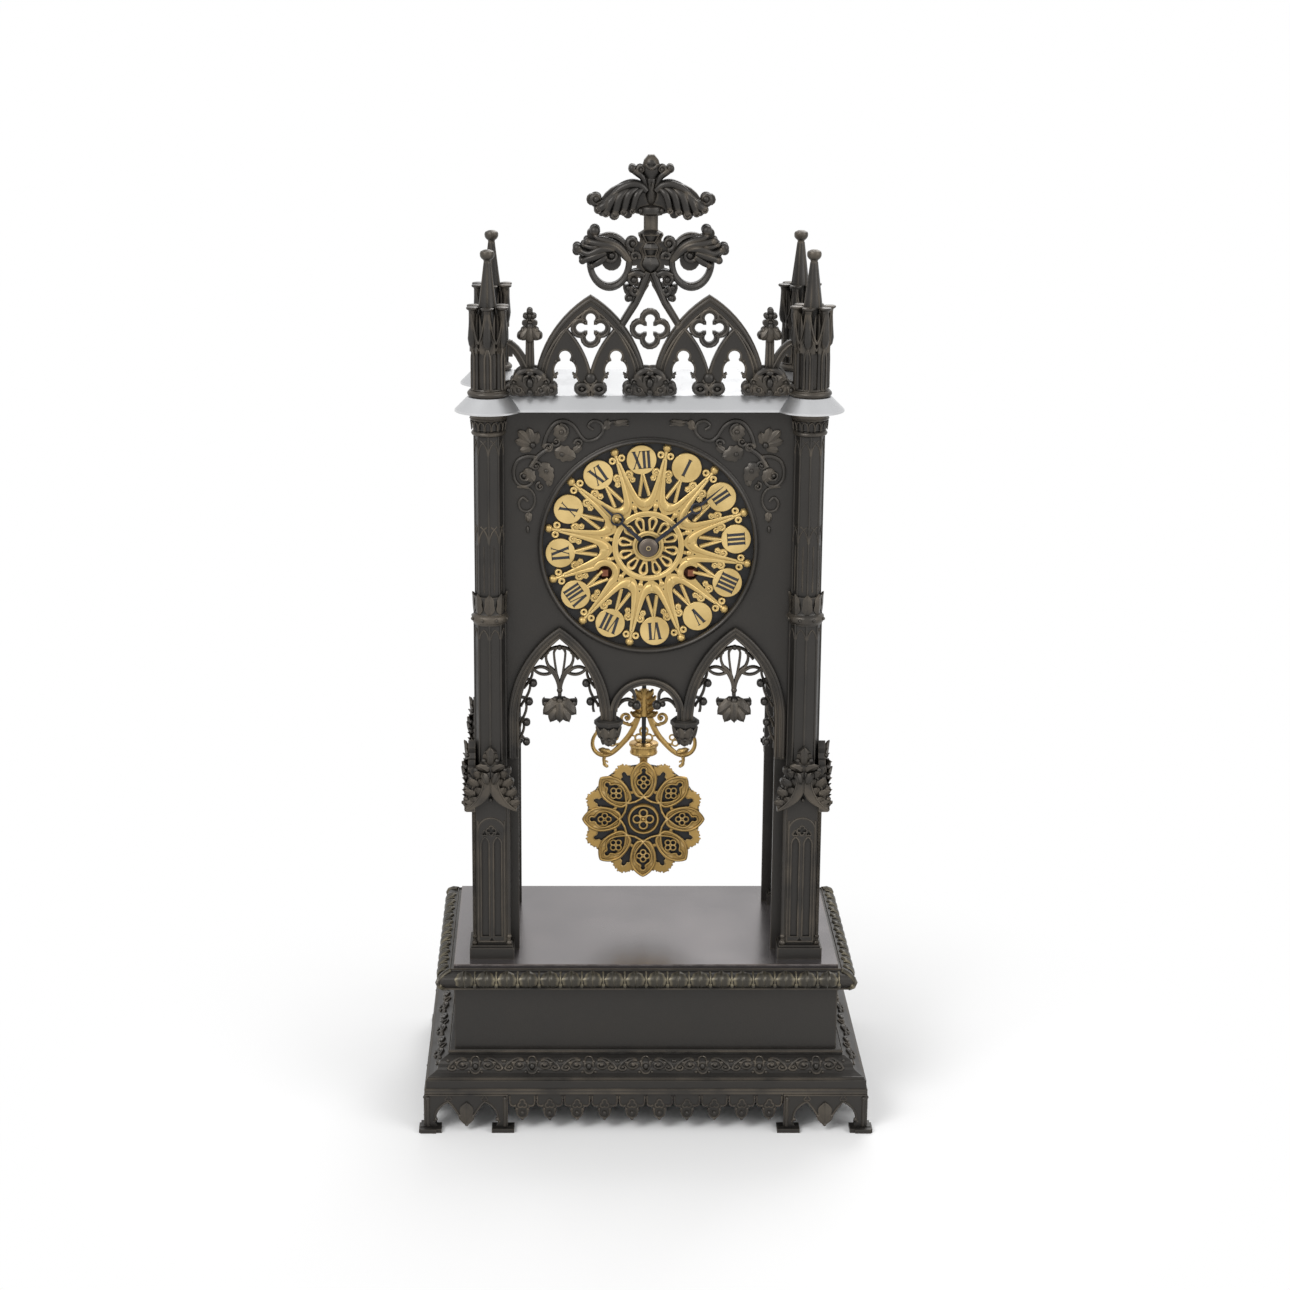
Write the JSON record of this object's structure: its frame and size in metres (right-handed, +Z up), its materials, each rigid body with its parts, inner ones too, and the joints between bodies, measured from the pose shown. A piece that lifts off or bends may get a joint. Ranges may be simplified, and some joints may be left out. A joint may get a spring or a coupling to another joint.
{
  "type": "table clock",
  "caption": "Portal-shaped table clock on a moulded base: corner columns, pierced pointed arches, round openwork dial, pinnacles, cross finial and hanging pendulum.",
  "frame": {"origin": "centre of the footprint on the surface the feet stand on", "axes": "+Z up, +X to the right seen from the dial, the dial faces -Y"},
  "size_m": [0.2418, 0.1558, 0.5122],
  "materials": {
    "patinated_bronze": "dark patinated bronze, brassy on the high points",
    "plate_bronze": "smooth reddish bronze plate",
    "deck_bronze": "bright grey bevelled bronze",
    "gilt": "dull gilding",
    "black_metal": "blackened plate",
    "steel": "worn steel",
    "blued_steel": "blued steel",
    "hand_brass": "browned brass",
    "brass": "lacquered brass",
    "bell_metal": "turned bell metal",
    "old_gilt": "antique gilding"
  },
  "bodies": {
    "case": {"corner_feet": "patinated_bronze", "foot_screws": "steel", "aprons": "patinated_bronze", "base_moulding": "patinated_bronze", "base_box": "patinated_bronze", "leaf_moulding": "patinated_bronze", "base_plate": "plate_bronze", "column_front_left": "patinated_bronze", "column_front_right": "patinated_bronze", "column_back_left": "patinated_bronze", "column_back_right": "patinated_bronze", "tie_rods": "steel", "tie_nuts": "steel", "front_panel": "patinated_bronze", "back_panel": "patinated_bronze", "side_panel_left": "patinated_bronze", "side_panel_right": "patinated_bronze", "arch_tracery": "patinated_bronze", "corbels": "patinated_bronze", "spandrels": "patinated_bronze", "bezel_ring": "patinated_bronze", "deck": "deck_bronze", "back_bezel": "brass", "turret_front_left": "patinated_bronze", "turret_front_right": "patinated_bronze", "turret_back_left": "patinated_bronze", "turret_back_right": "patinated_bronze", "gallery": "patinated_bronze", "finial_cross": "patinated_bronze", "dial_plate": "black_metal", "gilt_dial": "gilt", "front_plate": "brass", "back_plate": "brass", "pillars": "brass", "suspension_cock": "brass", "bell": "bell_metal", "case_straps": "steel", "clicks": "steel"},
    "door": {"back_door": "brass"},
    "minute": {"minute_hand": "blued_steel", "hand_cap": "hand_brass", "centre_arbor": "brass"},
    "hour": {"hour_hand": "blued_steel", "hour_wheel": "brass"},
    "motion_wheel": {"minute_wheel": "brass"},
    "going_drum": {"going_barrel": "brass"},
    "strike_drum": {"strike_barrel": "brass"},
    "going_arbor": {"going_winder": "steel"},
    "strike_arbor": {"strike_winder": "steel"},
    "second": {"second_wheel": "brass"},
    "third": {"third_wheel": "brass"},
    "escape": {"escape_wheel": "brass"},
    "pins": {"pin_wheel": "brass"},
    "pallets": {"anchor": "steel"},
    "pendulum": {"pendulum_rod": "steel", "pendulum_frame": "old_gilt", "rating_nut": "old_gilt", "bob": "old_gilt"},
    "striker": {"hammer": "steel"},
    "count": {"count_wheel": "brass"}
  },
  "joints": [
    {"name": "minute_turn", "type": "hinge", "parent": "case", "child": "minute", "pos_m": [0, -0.038, 0.312], "axis": [0, 1, 0], "continuous": true},
    {"name": "hour_turn", "type": "hinge", "parent": "case", "child": "hour", "pos_m": [0, -0.038, 0.312], "axis": [0, 1, 0], "continuous": true},
    {"name": "motion_turn", "type": "hinge", "parent": "case", "child": "motion_wheel", "pos_m": [0, -0.0283, 0.2952], "axis": [0, 1, 0], "continuous": true},
    {"name": "going_drum_turn", "type": "hinge", "parent": "case", "child": "going_drum", "pos_m": [0.0223, -0.015, 0.2977], "axis": [0, 1, 0], "continuous": true},
    {"name": "strike_drum_turn", "type": "hinge", "parent": "case", "child": "strike_drum", "pos_m": [-0.0223, -0.015, 0.2977], "axis": [0, 1, 0], "continuous": true},
    {"name": "going_arbor_turn", "type": "hinge", "parent": "case", "child": "going_arbor", "pos_m": [0.0223, -0.03, 0.2977], "axis": [0, 1, 0], "continuous": true},
    {"name": "strike_arbor_turn", "type": "hinge", "parent": "case", "child": "strike_arbor", "pos_m": [-0.0223, -0.03, 0.2977], "axis": [0, 1, 0], "continuous": true},
    {"name": "second_turn", "type": "hinge", "parent": "case", "child": "second", "pos_m": [0.01794, -0.01, 0.32038], "axis": [0, 1, 0], "continuous": true},
    {"name": "third_turn", "type": "hinge", "parent": "case", "child": "third", "pos_m": [-0.01021, -0.008, 0.3256], "axis": [0, 1, 0], "continuous": true},
    {"name": "escape_turn", "type": "hinge", "parent": "case", "child": "escape", "pos_m": [0, -0.014, 0.33298], "axis": [0, 1, 0], "continuous": true},
    {"name": "pin_turn", "type": "hinge", "parent": "case", "child": "pins", "pos_m": [-0.03353, -0.01, 0.31788], "axis": [0, 1, 0], "continuous": true},
    {"name": "pallet_rock", "type": "hinge", "parent": "case", "child": "pallets", "pos_m": [0, -0.016, 0.34448], "axis": [0, 1, 0], "range_deg": [-5, 5]},
    {"name": "pendulum_swing", "type": "hinge", "parent": "case", "child": "pendulum", "pos_m": [0, 0.0141, 0.35048], "axis": [0, 1, 0], "range_deg": [-4, 4]},
    {"name": "hammer_lift", "type": "hinge", "parent": "case", "child": "striker", "pos_m": [-0.03, 0.0194, 0.332], "axis": [0, 1, 0], "range_deg": [0, 12], "stiffness_Nm_per_rad": 0.01, "springref_deg": -2.86},
    {"name": "count_turn", "type": "hinge", "parent": "case", "child": "count", "pos_m": [-0.0223, 0.011, 0.2977], "axis": [0, 1, 0], "continuous": true},
    {"name": "door_swing", "type": "hinge", "parent": "case", "child": "door", "pos_m": [-0.0544, 0.0427, 0.312], "axis": [0, 0, 1], "range_deg": [0, 110]}
  ],
  "couplings": [
    {"joint": "hour_turn", "follows": "minute_turn", "ratio": 0.083333},
    {"joint": "motion_turn", "follows": "minute_turn", "ratio": -0.33333},
    {"joint": "second_turn", "follows": "minute_turn", "ratio": -0.2},
    {"joint": "going_drum_turn", "follows": "minute_turn", "ratio": 0.033333},
    {"joint": "third_turn", "follows": "minute_turn", "ratio": -7.5},
    {"joint": "escape_turn", "follows": "minute_turn", "ratio": 45},
    {"joint": "pin_turn", "follows": "strike_drum_turn", "ratio": -6},
    {"joint": "pallet_rock", "follows": "pendulum_swing", "ratio": 1.1493}
  ]
}
